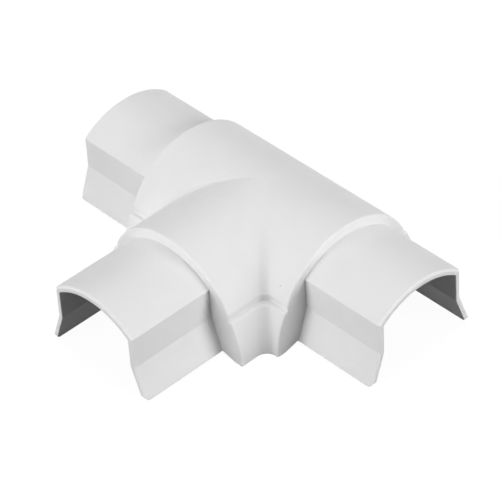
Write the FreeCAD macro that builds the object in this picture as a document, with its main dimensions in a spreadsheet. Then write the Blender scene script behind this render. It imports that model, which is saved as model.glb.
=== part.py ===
import FreeCAD, Part
import math
import os
import Sketcher

# Tee fitting for half-round cable trunking: one thin-walled moulding, open underneath.
# The straight run lies along X and the branch leaves it towards -Y. All sizes in millimetres.

SIZES = {
    "wall": 1.2,                    # thickness of every wall
    # arched body
    "base_half_width": 19.35,       # half the width across the rim that meets the wall surface
    "run_standoff": 3.15,           # side of the branch to each shoulder of the run
    "branch_standoff": 6.65,        # side of the run to the shoulder of the branch
    "skirt_radius": 21.2,           # curve of the lower side wall, upright at the rim
    "ledge_height": 9.7,            # step between lower side wall and arch
    "ledge_width": 0.9,
    "drop_height": 1.5,             # upright stretch between the step and the foot of the arch
    "arch_rise": 10.25,             # crown of the arch over its foot
    # edges of the arched body
    "valley_radius": 2.0,           # hollow between the two arches
    "corner_radius": 2.5,           # hollow between the two lower side walls
    "rim_radius": 0.5,              # rounded nose of the step
    "crease_radius": 0.2,           # inner corner of the step
    "shoulder_radius": 0.3,         # rounded outer edge of each shoulder
    "toe_width": 2.0,               # flat of the rim before the shoulder's lower edge climbs
    # spigots that slide under the trunking covers
    "spigot_length": 20.0,
    "crown_step": 2.35,             # crown of the body down to the crown of a spigot
    "eave_half_width": 11.2,
    "spigot_rise": 4.1,             # crown of a spigot over the foot of its arch
    "waist_half_width": 11.25,
    "waist_height": 8.0,
    "foot_half_width": 13.85,
    "foot_height": 0.85,
    "lead_in": 0.4,                 # bevel round the outside of the mouths
    "nose_radius": 1.0,             # lower corners of the spigot ends
}

# Sizes that follow from the ones above, as sheet formulas.
DERIVED = {
    "run_half_length": "Sizes.base_half_width + Sizes.run_standoff",
    "branch_length": "Sizes.base_half_width + Sizes.branch_standoff",
    "skirt_centre": "Sizes.base_half_width - Sizes.skirt_radius",
    "skirt_top": "skirt_centre + sqrt(Sizes.skirt_radius^2 - Sizes.ledge_height^2)",
    "drop_half_width": "skirt_top - Sizes.ledge_width",
    "crown_height": "Sizes.ledge_height + Sizes.drop_height + Sizes.arch_rise",
    "arch_radius": "(drop_half_width^2 + Sizes.arch_rise^2) / (2 * Sizes.arch_rise)",
    "arch_centre": "crown_height - arch_radius",
    "spigot_crown_height": "crown_height - Sizes.crown_step",
    "eave_height": "spigot_crown_height - Sizes.spigot_rise",
    "spigot_radius": "(Sizes.eave_half_width^2 + Sizes.spigot_rise^2) / (2 * Sizes.spigot_rise)",
    "spigot_centre": "spigot_crown_height - spigot_radius",
    "lean": "(Sizes.waist_half_width - Sizes.eave_half_width) / (eave_height - Sizes.waist_height)",
    "flare": "(Sizes.foot_half_width - Sizes.waist_half_width) / (Sizes.waist_height - Sizes.foot_height)",
    "bisector": "(atan(flare) + atan(lean)) / 2",
    "mitre_wall": "Sizes.wall / cos((atan(flare) - atan(lean)) / 2)",
    "inner_eave": "Sizes.eave_half_width - Sizes.wall * sqrt(1 + lean^2)",
    "inner_waist": "Sizes.waist_half_width - mitre_wall * cos(bisector)",
    "inner_waist_height": "Sizes.waist_height - mitre_wall * sin(bisector)",
    "run_end": "run_half_length + Sizes.spigot_length",
    "branch_end": "branch_length + Sizes.spigot_length",
    "run_axis_y": "(branch_end - Sizes.base_half_width) / 2",
}

CUT_PAST = 2.0      # how far the hollow runs past the open faces
TOLERANCE = 1e-3

doc = FreeCAD.newDocument("TrunkingTee")


def fill_sheet(name, cells, sign):
    """Write names and values in two columns and give each value its name."""
    sheet = doc.addObject("Spreadsheet::Sheet", name)
    for row, (alias, value) in enumerate(cells.items(), start=1):
        sheet.set(f"A{row}", alias)
        sheet.set(f"B{row}", f"{sign}{value}")
        sheet.setAlias(f"B{row}", alias)
    doc.recompute()
    return sheet


sizes = fill_sheet("Sizes", SIZES, "")
derived = fill_sheet("Derived", DERIVED, "=")


def value(name):
    """Present value of a named size."""
    sheet = sizes if name in SIZES else derived
    cell = sheet.get(name)
    return float(getattr(cell, "Value", cell))


def origin_plane(body, role):
    return next(f for f in body.Origin.OriginFeatures if f.Role == role)


class Outline:
    """A closed sketch outline whose measures are tied to the sheets."""

    def __init__(self, body, name, role):
        self.sketch = body.newObject("Sketcher::SketchObject", name)
        self.sketch.AttachmentSupport = [(origin_plane(body, role), "")]
        self.sketch.MapMode = "FlatFace"

    def line(self, start, end):
        segment = Part.LineSegment(FreeCAD.Vector(*start, 0), FreeCAD.Vector(*end, 0))
        return self.sketch.addGeometry(segment, False)

    def arc(self, centre, radius, start, end):
        """Arc from start to end, turning to the left about its centre."""
        circle = Part.Circle(FreeCAD.Vector(*centre, 0), FreeCAD.Vector(0, 0, 1), radius)
        angles = [math.atan2(p[1] - centre[1], p[0] - centre[0]) for p in (start, end)]
        return self.sketch.addGeometry(Part.ArcOfCircle(circle, *angles), False)

    def join(self, pieces):
        """Tie the end of each piece to the start of the next, all the way round."""
        for here, after in zip(pieces, pieces[1:] + pieces[:1]):
            self.sketch.addConstraint(Sketcher.Constraint("Coincident", here, 2, after, 1))

    def rule(self, *arguments):
        return self.sketch.addConstraint(Sketcher.Constraint(*arguments))

    def measure(self, kind, *arguments, by):
        """Add a measure and tie it to a formula; the last argument is its present value."""
        index = self.rule(kind, *arguments)
        self.sketch.setExpression(f"Constraints[{index}]", by)

    def across(self, piece, point, amount, by, side=1):
        """Distance of a point from the upright axis, along +X where side is 1, else along -X."""
        if side > 0:
            self.measure("DistanceX", -1, 1, piece, point, amount, by=by)
        else:
            self.measure("DistanceX", piece, point, -1, 1, amount, by=by)

    def above(self, piece, point, amount, by):
        """Height of a point over the base line."""
        if amount > 0:
            self.measure("DistanceY", -1, 1, piece, point, amount, by=by)
        else:
            self.measure("DistanceY", piece, point, -1, 1, -amount, by=f"-({by})")


def arc_point(centre, radius, height):
    """Half width of an arc at a height."""
    return centre[0] + math.sqrt(radius ** 2 - (height - centre[1]) ** 2)


def body_outline(body, name, role, inset):
    """Section of the arched body: lower side walls, step and arch, moved in by inset."""
    wall = value("wall") if inset else 0.0
    shrink = f" - {inset}" if inset else ""
    skirt_centre = (value("skirt_centre"), 0.0)
    skirt_radius = value("skirt_radius") - wall
    arch_centre = (0.0, value("arch_centre"))
    arch_radius = value("arch_radius") - wall
    ledge = value("ledge_height") - wall
    drop = value("drop_half_width") - wall
    foot = (skirt_centre[0] + skirt_radius, 0.0)
    nose = (arc_point(skirt_centre, skirt_radius, ledge), ledge)
    arch_foot = (drop, arch_centre[1] + math.sqrt(arch_radius ** 2 - drop ** 2))

    def mirror(point):
        return (-point[0], point[1])

    o = Outline(body, name, role)
    bottom = o.line(mirror(foot), foot)
    skirt = o.arc(skirt_centre, skirt_radius, foot, nose)
    step = o.line(nose, (drop, ledge))
    drop_line = o.line((drop, ledge), arch_foot)
    arch = o.arc(arch_centre, arch_radius, arch_foot, mirror(arch_foot))
    far_drop = o.line(mirror(arch_foot), (-drop, ledge))
    far_step = o.line((-drop, ledge), mirror(nose))
    far_skirt = o.arc(mirror(skirt_centre), skirt_radius, mirror(nose), mirror(foot))
    o.join([bottom, skirt, step, drop_line, arch, far_drop, far_step, far_skirt])

    for piece in (step, far_step):
        o.rule("Horizontal", piece)
    for piece in (drop_line, far_drop):
        o.rule("Vertical", piece)
    o.rule("PointOnObject", arch, 3, -2)
    o.above(arch, 3, arch_centre[1], "Derived.arch_centre")
    o.measure("Radius", arch, arch_radius, by="Derived.arch_radius" + shrink)
    for piece, side, base in ((skirt, 1, 1), (far_skirt, -1, 2)):
        o.measure("Radius", piece, skirt_radius, by="Sizes.skirt_radius" + shrink)
        o.across(piece, 3, skirt_centre[0], "Derived.skirt_centre", side)
        o.rule("PointOnObject", piece, 3, -1)
        o.rule("PointOnObject", piece, base, -1)
    for piece, side in ((drop_line, 1), (far_drop, -1)):
        o.across(piece, 1, drop, "Derived.drop_half_width" + shrink, side)
    for piece in (step, far_step):
        o.above(piece, 1, ledge, "Sizes.ledge_height" + shrink)
    return o.sketch


def spigot_outline(body, name, role):
    """Outer section of a spigot: flared lower panels, upright upper panels and an arch."""
    foot = (value("foot_half_width"), value("foot_height"))
    waist = (value("waist_half_width"), value("waist_height"))
    eave = (value("eave_half_width"), value("eave_height"))
    o, pieces = spigot_pieces(body, name, role, foot, waist, eave, 0.0)
    tie_spigot(o, pieces, foot, waist, eave, {
        "foot": ("Sizes.foot_half_width", "Sizes.foot_height"),
        "waist": ("Sizes.waist_half_width", "Sizes.waist_height"),
        "eave": ("Sizes.eave_half_width", ""),
        "radius": "Derived.spigot_radius",
    })
    return o.sketch


def spigot_hollow_outline(body, name, role):
    """Inner section of a spigot, one wall inside the outer one and open below."""
    wall = value("wall")
    waist = (value("inner_waist"), value("inner_waist_height"))
    below = value("foot_height") - CUT_PAST
    foot = (waist[0] + (waist[1] - below) * value("flare"), below)
    radius = value("spigot_radius") - wall
    half = value("inner_eave")
    eave = (half, value("spigot_centre") + math.sqrt(radius ** 2 - half ** 2))
    o, pieces = spigot_pieces(body, name, role, foot, waist, eave, wall)
    level = f"(Sizes.foot_height - {CUT_PAST})"
    tie_spigot(o, pieces, foot, waist, eave, {
        "foot": (f"Derived.inner_waist + (Derived.inner_waist_height - {level}) * Derived.flare", level),
        "waist": ("Derived.inner_waist", "Derived.inner_waist_height"),
        "eave": ("Derived.inner_eave", ""),
        "radius": "Derived.spigot_radius - Sizes.wall",
    })
    return o.sketch


def spigot_pieces(body, name, role, foot, waist, eave, wall):
    """Lines and arc of a spigot section, joined into a closed outline."""
    def mirror(point):
        return (-point[0], point[1])

    o = Outline(body, name, role)
    centre = (0.0, value("spigot_centre"))
    pieces = {
        "bottom": o.line(mirror(foot), foot),
        "lower": o.line(foot, waist),
        "upper": o.line(waist, eave),
        "arch": o.arc(centre, value("spigot_radius") - wall, eave, mirror(eave)),
        "far_upper": o.line(mirror(eave), mirror(waist)),
        "far_lower": o.line(mirror(waist), mirror(foot)),
    }
    o.join(list(pieces.values()))
    return o, pieces


def tie_spigot(o, pieces, foot, waist, eave, names):
    """Tie the points of a spigot section to the sheets, alike on both sides."""
    centre = value("spigot_centre")
    o.rule("PointOnObject", pieces["arch"], 3, -2)
    o.above(pieces["arch"], 3, centre, "Derived.spigot_centre")
    o.measure("Radius", pieces["arch"], math.hypot(eave[0], eave[1] - centre), by=names["radius"])
    corners = (
        (pieces["lower"], pieces["bottom"], foot, names["foot"]),
        (pieces["upper"], pieces["far_lower"], waist, names["waist"]),
        (pieces["arch"], pieces["far_upper"], eave, names["eave"]),
    )
    for piece, far_piece, point, (width, height) in corners:
        for here, side in ((piece, 1), (far_piece, -1)):
            o.across(here, 1, point[0], width, side)
            if height:
                o.above(here, 1, point[1], height)


def relief_outline(body, name, role):
    """What is cleared under a shoulder: its lower edge climbs from the rim to the spigot."""
    toe = value("base_half_width") - value("toe_width")
    foot = (value("foot_half_width"), value("foot_height"))
    o = Outline(body, name, role)
    points = [
        ((-toe, -CUT_PAST), "Sizes.base_half_width - Sizes.toe_width", f"-{CUT_PAST}"),
        ((toe, -CUT_PAST), "Sizes.base_half_width - Sizes.toe_width", f"-{CUT_PAST}"),
        ((toe, 0.0), "Sizes.base_half_width - Sizes.toe_width", ""),
        (foot, "Sizes.foot_half_width", "Sizes.foot_height"),
        ((-foot[0], foot[1]), "Sizes.foot_half_width", "Sizes.foot_height"),
        ((-toe, 0.0), "Sizes.base_half_width - Sizes.toe_width", ""),
    ]
    corners = [point for point, _, _ in points]
    pieces = [o.line(a, b) for a, b in zip(corners, corners[1:] + corners[:1])]
    o.join(pieces)
    for piece, (point, width, height) in zip(pieces, points):
        o.across(piece, 1, abs(point[0]), width, math.copysign(1, point[0]))
        if height:
            o.above(piece, 1, point[1], height)
        else:
            o.rule("PointOnObject", piece, 1, -1)
    return o.sketch


def check(item):
    """Stop at an object that failed or came out without a valid shape."""
    failed = "Invalid" in item.State or "Error" in item.State
    if failed or (hasattr(item, "Shape") and (item.Shape.isNull() or not item.Shape.isValid())):
        raise RuntimeError(f"{item.Name} failed: {item.State} {item.getStatusString()}")


def pad(body, name, sketch, length, both_ways):
    """Extrude a section, along X both ways or from the run axis towards -Y."""
    feature = body.newObject("PartDesign::Pad", name)
    feature.Profile = sketch
    if both_ways:
        feature.SideType = "Symmetric"
    feature.setExpression("Length", length)
    doc.recompute()
    check(feature)
    return feature


def edge_names(feature, wanted):
    """Names of a feature's edges that meet a condition."""
    edges = feature.Shape.Edges
    return [f"Edge{i}" for i, edge in enumerate(edges, start=1) if wanted(edge)]


def round_edges(body, name, base, wanted, radius):
    """Round the edges of a feature that meet a condition."""
    names = edge_names(base, wanted)
    if not names:
        raise RuntimeError(f"{name}: no edge to round")
    feature = body.newObject("PartDesign::Fillet", name)
    feature.Base = (base, names)
    feature.setExpression("Radius", radius)
    doc.recompute()
    check(feature)
    return feature


def middle(edge):
    """Point halfway along an edge."""
    return edge.valueAt((edge.FirstParameter + edge.LastParameter) / 2)


def at_height(edge, height):
    box = edge.BoundBox
    return abs(box.ZMin - height) < TOLERANCE and abs(box.ZMax - height) < TOLERANCE


def in_mitre(edge):
    """True for an edge that climbs in one of the two planes where run and branch meet."""
    box = edge.BoundBox
    point = middle(edge)
    flat = box.ZLength < TOLERANCE
    return not flat and point.y < -TOLERANCE and abs(abs(point.x) + point.y) < TOLERANCE


def arched_body(body, inset, stop):
    """Run and branch of the arched body, with rounded hollows where they meet."""
    grow = f" + {inset}" if inset else ""
    wall = value("wall") if inset else 0.0
    ledge = value("ledge_height") - wall
    prefix = body.Name
    section = body_outline(body, prefix + "RunSection", "YZ_Plane", inset)
    pad(body, prefix + "Run", section, f"2 * (Derived.run_half_length{stop})", True)
    section = body_outline(body, prefix + "BranchSection", "XZ_Plane", inset)
    branch = pad(body, prefix + "Branch", section, f"Derived.branch_length{stop}", False)
    valley = round_edges(body, prefix + "Valley", branch,
                         lambda e: in_mitre(e) and middle(e).z > ledge + TOLERANCE,
                         "Sizes.valley_radius" + grow)
    return round_edges(body, prefix + "Corner", valley,
                       lambda e: in_mitre(e) and middle(e).z < ledge - TOLERANCE,
                       "Sizes.corner_radius" + grow)


def reach(edge):
    """How far the near end of an edge stands from the run or branch axis plane."""
    point = edge.Vertexes[0].Point
    return min(abs(point.x), abs(point.y))


def on_shoulder(edge):
    """True for an edge that lies flat in one of the three shoulder planes."""
    box = edge.BoundBox
    run = value("run_half_length")
    across_run = box.XLength < TOLERANCE and abs(abs(box.XMin) - run) < TOLERANCE
    across_branch = box.YLength < TOLERANCE and abs(box.YMin + value("branch_length")) < TOLERANCE
    return across_run or across_branch


def soften_body(body, base):
    """Round the nose and inner corner of the step, then the outer edges of the shoulders."""
    ledge = value("ledge_height")
    crease_end = ledge + value("crease_radius")

    def along(distance):
        return lambda e: at_height(e, ledge) and not on_shoulder(e) and abs(reach(e) - distance) < TOLERANCE

    nose = round_edges(body, "StepNose", base, along(value("skirt_top")), "Sizes.rim_radius")
    crease = round_edges(body, "StepCrease", nose, along(value("drop_half_width")),
                         "Sizes.crease_radius")
    # The rounding runs on from the upper edges round the step and down to the rim.
    return round_edges(body, "ShoulderRim", crease,
                       lambda e: on_shoulder(e) and middle(e).z > crease_end,
                       "Sizes.shoulder_radius")


def at_mouth(edge):
    """True for an edge that lies flat in the end plane of a spigot."""
    box = edge.BoundBox
    across_run = box.XLength < TOLERANCE and abs(abs(box.XMin) - value("run_end")) < TOLERANCE
    across_branch = box.YLength < TOLERANCE and abs(box.YMin + value("branch_end")) < TOLERANCE
    return across_run or across_branch


def spigots(body):
    """Spigots on the run and the branch, with a lead-in bevel and rounded lower corners."""
    foot = value("foot_height")
    section = spigot_outline(body, "RunSpigotSection", "YZ_Plane")
    pad(body, "RunSpigot", section, "2 * Derived.run_end", True)
    section = spigot_outline(body, "BranchSpigotSection", "XZ_Plane")
    branch = pad(body, "BranchSpigot", section, "Derived.branch_end", False)
    names = edge_names(branch, lambda e: at_mouth(e) and not at_height(e, foot))
    bevel = body.newObject("PartDesign::Chamfer", "SpigotLeadIn")
    bevel.Base = (branch, names)
    bevel.setExpression("Size", "Sizes.lead_in")
    doc.recompute()
    check(bevel)
    round_edges(body, "SpigotNose", bevel,
                lambda e: at_mouth(e) and at_height(e, foot), "Sizes.nose_radius")


def relief(body, name, role, distance, backwards):
    """Clear the lower edge of one shoulder, over the thickness of its wall."""
    sketch = relief_outline(body, name + "Section", role)
    sketch.setExpression("AttachmentOffset.Base.z", distance)
    feature = body.newObject("PartDesign::Pad", name)
    feature.Profile = sketch
    feature.Reversed = backwards
    feature.setExpression("Length", f"Sizes.wall + {CUT_PAST}")
    doc.recompute()
    check(feature)
    return feature


def hollow_out(body):
    """The space inside: arched body, three bores to the mouths and the shoulder reliefs."""
    arched_body(body, "Sizes.wall", " - Sizes.wall")
    section = spigot_hollow_outline(body, "RunBoreSection", "YZ_Plane")
    pad(body, "RunBore", section, f"2 * (Derived.run_end + {CUT_PAST})", True)
    section = spigot_hollow_outline(body, "BranchBoreSection", "XZ_Plane")
    pad(body, "BranchBore", section, f"Derived.branch_end + {CUT_PAST}", False)
    run_inside = "(Derived.run_half_length - Sizes.wall)"
    relief(body, "RightRelief", "YZ_Plane", run_inside, False)
    relief(body, "LeftRelief", "YZ_Plane", "-" + run_inside, True)
    relief(body, "BranchRelief", "XZ_Plane", "Derived.branch_length - Sizes.wall", False)


form = doc.addObject("PartDesign::Body", "Form")
soften_body(form, arched_body(form, "", ""))
spigots(form)
hollow = doc.addObject("PartDesign::Body", "Hollow")
hollow_out(hollow)

fitting = doc.addObject("Part::Cut", "Fitting")
fitting.Label = "tee_fitting"
fitting.Base = form
fitting.Tool = hollow
fitting.setExpression("Placement.Base.y", "Derived.run_axis_y")
doc.recompute()

for item in doc.Objects:
    if not item.TypeId.startswith("App::"):
        check(item)
shape = fitting.Shape
if len(shape.Solids) != 1:
    raise RuntimeError("the fitting is not one solid")
if shape.Volume > form.Shape.Volume / 2:
    raise RuntimeError("the hollow was not cut")

os.makedirs("parts", exist_ok=True)
shape.exportStep(f"parts/{fitting.Label}.step")
box = shape.optimalBoundingBox(True, False)
print(f"{fitting.Label}: {box.XLength:.2f} x {box.YLength:.2f} x {box.ZLength:.2f} mm,"
      f" {shape.Volume / 1000:.2f} cm3, {len(shape.Faces)} faces")
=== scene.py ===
import math

import bpy
from mathutils import Matrix, Vector


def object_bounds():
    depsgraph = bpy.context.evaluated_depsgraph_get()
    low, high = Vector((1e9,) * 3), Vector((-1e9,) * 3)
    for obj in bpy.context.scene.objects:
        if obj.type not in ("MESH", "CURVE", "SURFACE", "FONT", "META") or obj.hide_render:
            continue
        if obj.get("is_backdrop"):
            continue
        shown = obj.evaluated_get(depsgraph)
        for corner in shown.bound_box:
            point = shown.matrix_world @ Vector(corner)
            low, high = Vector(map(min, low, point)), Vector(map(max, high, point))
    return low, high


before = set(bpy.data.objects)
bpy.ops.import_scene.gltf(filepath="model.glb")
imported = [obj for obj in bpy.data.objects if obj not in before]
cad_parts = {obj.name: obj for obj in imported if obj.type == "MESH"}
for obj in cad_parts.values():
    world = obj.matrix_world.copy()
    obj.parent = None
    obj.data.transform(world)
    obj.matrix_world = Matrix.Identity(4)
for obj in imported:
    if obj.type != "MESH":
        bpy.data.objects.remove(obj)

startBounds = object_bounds()
print("frame loaded, bounds", startBounds)


def linearColour(hexText):
    # sRGB hex value to the linear numbers Blender works in
    channels = [int(hexText[i:i + 2], 16) / 255 for i in (1, 3, 5)]
    linear = [c / 12.92 if c <= 0.04045 else ((c + 0.055) / 1.055) ** 2.4 for c in channels]
    return (*linear, 1.0)


def addNode(tree, kind, settings=None, values=None, links=None):
    # one node with its settings, the numbers on its sockets and the links that feed it
    node = tree.nodes.new(kind)
    for name, setting in (settings or {}).items():
        setattr(node, name, setting)
    for socket, number in (values or {}).items():
        node.inputs[socket].default_value = number
    for socket, source in (links or {}).items():
        tree.links.new(source, node.inputs[socket])
    return node


# white rigid PVC

# Injection-moulded rigid PVC, white with titanium dioxide. The mould is spark-finished: a
# shallow orange peel just under a millimetre wide, with finer pits in it, spreads every
# highlight into a soft sheen. Light enters about half a millimetre and comes back out, which
# softens the edges. The flow of the melt leaves broad patches a shade duller and greyer, too
# faint to read as spots. A few specks of scorched resin sit in it, no larger than a pixel or
# two of the picture.
pvc = {
    "name": "white moulded rigid PVC",
    "base": "#E9E9E9",
    "flowTone": "#E7E7E7",
    "speckTone": "#B0B0B0",
    "ior": 1.53,
    "sheen": 0.25,         # Specular IOR Level, under the usual 0.5 to match the dull look
    "roughness": 0.54,
    "flowRoughness": 0.58, # in the duller patches
    "scatter": 0.5,        # share of the light that enters
    "scatterReach": 0.5,   # mm, the same for every colour because the pigment is white
    "grainSize": 0.8,      # mm from one swell of the orange peel to the next
    "grainDetail": 3.0,    # each step halves it, down to pits of a tenth
    "grainFade": 0.6,      # strength of each step against the one before
    "grainDepth": 0.05,    # mm between the extremes
    "flowSize": 14.0,      # mm across one patch
    "flowDetail": 1.0,
    "flowSwirl": 0.6,
    "flowStart": 0.4,      # noise level where a patch begins
    "flowFull": 0.65,      # and where it is at its dullest
    "speckPitch": 9.0,     # mm between places where a speck can sit
    "speckSize": 0.2,      # mm radius of the largest
}


def perMetre(millimetres):
    # texture scale that makes one cell of a pattern this wide
    return 1000 / millimetres


def makePvc():
    material = bpy.data.materials.new(pvc["name"])
    material.use_nodes = True
    tree = material.node_tree
    tree.nodes.clear()
    place = addNode(tree, "ShaderNodeTexCoord").outputs["Object"]
    grain = addNode(tree, "ShaderNodeTexNoise",
                    values={"Scale": perMetre(pvc["grainSize"]), "Detail": pvc["grainDetail"],
                            "Roughness": pvc["grainFade"]},
                    links={"Vector": place})
    relief = addNode(tree, "ShaderNodeBump",
                     values={"Strength": 1.0, "Distance": pvc["grainDepth"] / 1000},
                     links={"Height": grain.outputs["Fac"]})
    flow = addNode(tree, "ShaderNodeTexNoise",
                   values={"Scale": perMetre(pvc["flowSize"]), "Detail": pvc["flowDetail"],
                           "Distortion": pvc["flowSwirl"]},
                   links={"Vector": place})
    duller = addNode(tree, "ShaderNodeMapRange", {"interpolation_type": "SMOOTHSTEP"},
                     {"From Min": pvc["flowStart"], "From Max": pvc["flowFull"]},
                     {"Value": flow.outputs["Fac"]})
    # sockets of a colour mix: 0 factor, 6 and 7 the two colours, 2 the result
    tone = addNode(tree, "ShaderNodeMix", {"data_type": "RGBA"},
                   {6: linearColour(pvc["base"]), 7: linearColour(pvc["flowTone"])},
                   {0: duller.outputs[0]})
    speck = addNode(tree, "ShaderNodeTexVoronoi", values={"Scale": perMetre(pvc["speckPitch"])},
                    links={"Vector": place})
    # a speck shows only where the surface passes close to a cell's point, and fades at its edge
    speckReach = pvc["speckSize"] / pvc["speckPitch"]
    spot = addNode(tree, "ShaderNodeMapRange", {"interpolation_type": "SMOOTHSTEP"},
                   {"From Min": speckReach, "From Max": speckReach / 2},
                   {"Value": speck.outputs["Distance"]})
    colour = addNode(tree, "ShaderNodeMix", {"data_type": "RGBA"},
                     {7: linearColour(pvc["speckTone"])},
                     {0: spot.outputs[0], 6: tone.outputs[2]})
    dullness = addNode(tree, "ShaderNodeMapRange",
                       values={"To Min": pvc["roughness"], "To Max": pvc["flowRoughness"]},
                       links={"Value": duller.outputs[0]})
    shader = addNode(tree, "ShaderNodeBsdfPrincipled",
                     values={"IOR": pvc["ior"], "Specular IOR Level": pvc["sheen"],
                             "Subsurface Weight": pvc["scatter"], "Subsurface Radius": (1, 1, 1),
                             "Subsurface Scale": pvc["scatterReach"] / 1000},
                     links={"Base Color": colour.outputs[2], "Roughness": dullness.outputs[0],
                            "Normal": relief.outputs[0]})
    addNode(tree, "ShaderNodeOutputMaterial", links={"Surface": shader.outputs["BSDF"]})
    return material


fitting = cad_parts["tee_fitting"]
fitting.data.materials.clear()
fitting.data.materials.append(makePvc())
print("material on", fitting.name)


# camera

camera = {
    "azimuth": 48.7771,      # degrees round the object from -Y
    "elevation": 40.2792,
    "roll": -3.7484,
    "distance": 0.5718913,   # metres
    "lens": 202.92,          # mm
    "runAxisY": 0.013325,    # the run's axis in the shared frame
    "aimRight": -0.0038129,  # metres from that axis to what the camera looks at
    "aimUp": 0.0020898,
    "sensor": 36,            # mm
    "near": 0.01,
    "far": 20,
}


def placeCamera():
    azimuth, elevation, roll = (math.radians(camera[k]) for k in ("azimuth", "elevation", "roll"))
    back = Vector((math.sin(azimuth) * math.cos(elevation),
                   -math.cos(azimuth) * math.cos(elevation), math.sin(elevation)))
    level = Vector((math.cos(azimuth), math.sin(azimuth), 0))
    upright = back.cross(level)
    right = math.cos(roll) * level + math.sin(roll) * upright
    up = math.cos(roll) * upright - math.sin(roll) * level
    target = (Vector((0, camera["runAxisY"], 0))
              + level * camera["aimRight"] + upright * camera["aimUp"])
    data = bpy.data.cameras.new("camera")
    data.lens = camera["lens"]
    data.sensor_width = camera["sensor"]
    data.clip_start = camera["near"]
    data.clip_end = camera["far"]
    holder = bpy.data.objects.new("camera", data)
    turn = Matrix((right, up, back)).transposed().to_4x4()
    holder.matrix_world = Matrix.Translation(target + back * camera["distance"]) @ turn
    bpy.context.scene.collection.objects.link(holder)
    bpy.context.scene.camera = holder
    print("camera at", [round(c, 4) for c in holder.matrix_world.translation])


placeCamera()


# floor and light

studio = {
    "floorSize": 6.0,           # metres
    "floorColour": "#525252",   # grey card, what the part itself is lit by
    "floorGlow": 0.955,          # added where the background is seen, so only a faint shadow shows
    "skyStrength": 0.13,
    "lampDistance": 1.2,        # metres
    "lampSize": 0.6,
    # turn from the camera and height in degrees, watts
    "lamps": {
        "left softbox": (-60, 14, 9.8),
        "right softbox": (60, 14, 10.1),
        "top softbox": (0, 88, 4.7),
        "back softbox": (180, 40, 2.8),
    },
}


def seenRay(tree):
    # 1 on rays that show the background: straight from the camera, mirrored or let through
    path = addNode(tree, "ShaderNodeLightPath")
    mirrored = addNode(tree, "ShaderNodeMath", {"operation": "MAXIMUM"},
                       links={0: path.outputs["Is Camera Ray"], 1: path.outputs["Is Glossy Ray"]})
    seen = addNode(tree, "ShaderNodeMath", {"operation": "MAXIMUM"},
                   links={0: mirrored.outputs[0], 1: path.outputs["Is Transmission Ray"]})
    return seen.outputs[0]


def makeFloor():
    half = studio["floorSize"] / 2
    mesh = bpy.data.meshes.new("floor")
    mesh.from_pydata([(-half, -half, 0), (half, -half, 0), (half, half, 0), (-half, half, 0)],
                     [], [(0, 1, 2, 3)])
    floor = bpy.data.objects.new("floor", mesh)
    bpy.context.scene.collection.objects.link(floor)
    material = bpy.data.materials.new("card floor")
    material.use_nodes = True
    tree = material.node_tree
    tree.nodes.clear()
    card = addNode(tree, "ShaderNodeBsdfDiffuse",
                   values={"Color": linearColour(studio["floorColour"])})
    strength = addNode(tree, "ShaderNodeMath", {"operation": "MULTIPLY"},
                       {1: studio["floorGlow"]}, {0: seenRay(tree)})
    glow = addNode(tree, "ShaderNodeEmission", links={"Strength": strength.outputs[0]})
    both = addNode(tree, "ShaderNodeAddShader", links={0: card.outputs[0], 1: glow.outputs[0]})
    addNode(tree, "ShaderNodeOutputMaterial", links={"Surface": both.outputs[0]})
    mesh.materials.append(material)
    floor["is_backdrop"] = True
    print("floor laid")


def makeSky():
    world = bpy.data.worlds.new("white room")
    world.use_nodes = True
    tree = world.node_tree
    tree.nodes.clear()
    # plain white where it is seen, dim where it lights the part
    strength = addNode(tree, "ShaderNodeMapRange",
                       values={"To Min": studio["skyStrength"], "To Max": 1.0},
                       links={"Value": seenRay(tree)})
    sky = addNode(tree, "ShaderNodeBackground", values={"Color": (1, 1, 1, 1)},
                  links={"Strength": strength.outputs[0]})
    addNode(tree, "ShaderNodeOutputWorld", links={"Surface": sky.outputs[0]})
    bpy.context.scene.world = world


def hangLamps():
    for name, (turn, height, watts) in studio["lamps"].items():
        azimuth = math.radians(camera["azimuth"] + turn)
        elevation = math.radians(height)
        toLamp = Vector((math.sin(azimuth) * math.cos(elevation),
                         -math.cos(azimuth) * math.cos(elevation), math.sin(elevation)))
        data = bpy.data.lights.new(name, "AREA")
        data.energy = watts
        data.size = studio["lampSize"]
        lamp = bpy.data.objects.new(name, data)
        lamp.matrix_world = (Matrix.Translation(toLamp * studio["lampDistance"])
                             @ toLamp.to_track_quat("Z", "Y").to_matrix().to_4x4())
        bpy.context.scene.collection.objects.link(lamp)
    print("sky and", len(studio["lamps"]), "lamps ready")


makeFloor()
makeSky()
hangLamps()
bpy.context.scene.view_settings.view_transform = "Standard"

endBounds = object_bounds()
({"start": [list(v) if hasattr(v, "__len__") else v for v in startBounds],
           "end": [list(v) if hasattr(v, "__len__") else v for v in endBounds]})
print("bounds at the end", endBounds)
